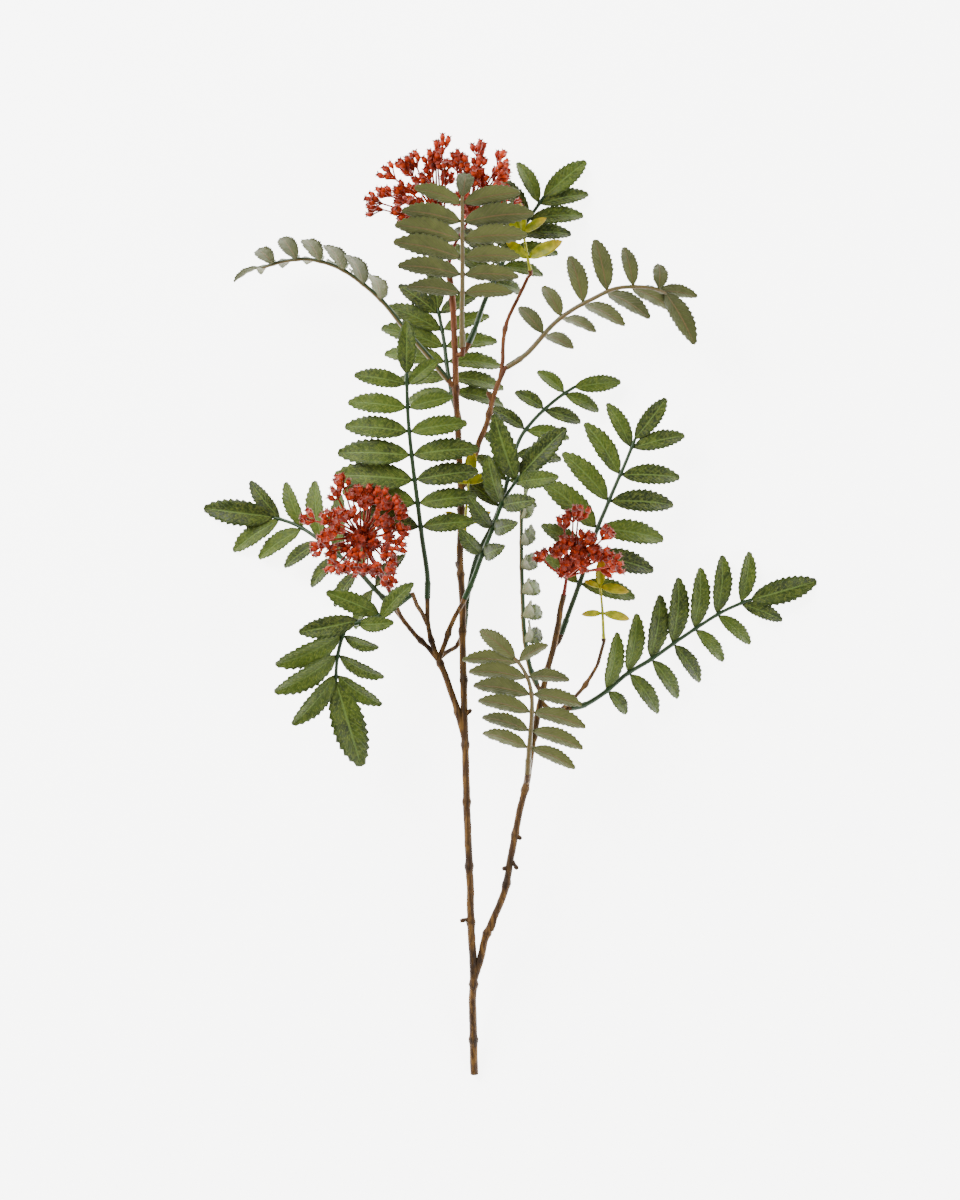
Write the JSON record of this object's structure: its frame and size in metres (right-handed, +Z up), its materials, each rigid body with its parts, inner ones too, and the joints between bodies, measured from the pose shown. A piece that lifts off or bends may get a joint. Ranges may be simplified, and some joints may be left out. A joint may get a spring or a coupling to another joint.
{
  "type": "rowan berry sprig",
  "caption": "Cut rowan sprig lying flat: a knotty forked stem with toothed compound leaves on plug-on sleeves, spreading heads of small orange-red berries and young green sprouts.",
  "frame": {"origin": "centre of the sprig's bounding box, on the surface it lies on", "axes": "+Y from the cut end of the stem towards the sprig's top, +X to the right seen from above, +Z up"},
  "size_m": [0.4972, 0.7609, 0.1383],
  "materials": {
    "bark_wrapped_stem": "matt moulded bark, brown with darker knots",
    "leaf_green": "soft satin printed leaf cloth with pale ribs",
    "berry_red": "matt orange-red moulding",
    "sprout_green": "matt yellow-green moulding"
  },
  "bodies": {
    "root": {"woody_stem": "bark_wrapped_stem", "leaf_top_front": "leaf_green", "leaf_left_arching": "leaf_green", "leaf_top_back": "leaf_green", "leaf_back_right": "leaf_green", "leaf_right_arching": "leaf_green", "leaf_front_left": "leaf_green", "leaf_left_low": "leaf_green", "leaf_left_drooping": "leaf_green", "leaf_centre_back": "leaf_green", "leaf_centre_front": "leaf_green", "leaf_centre_upright": "leaf_green", "leaf_low_front": "leaf_green", "leaf_right_low": "leaf_green", "leaf_right_upper": "leaf_green", "berry_head_top": "berry_red", "berry_head_left": "berry_red", "berry_head_right": "berry_red", "sprout_centre": "sprout_green", "sprout_right": "sprout_green", "sprout_top": "sprout_green"}
  },
  "joints": []
}
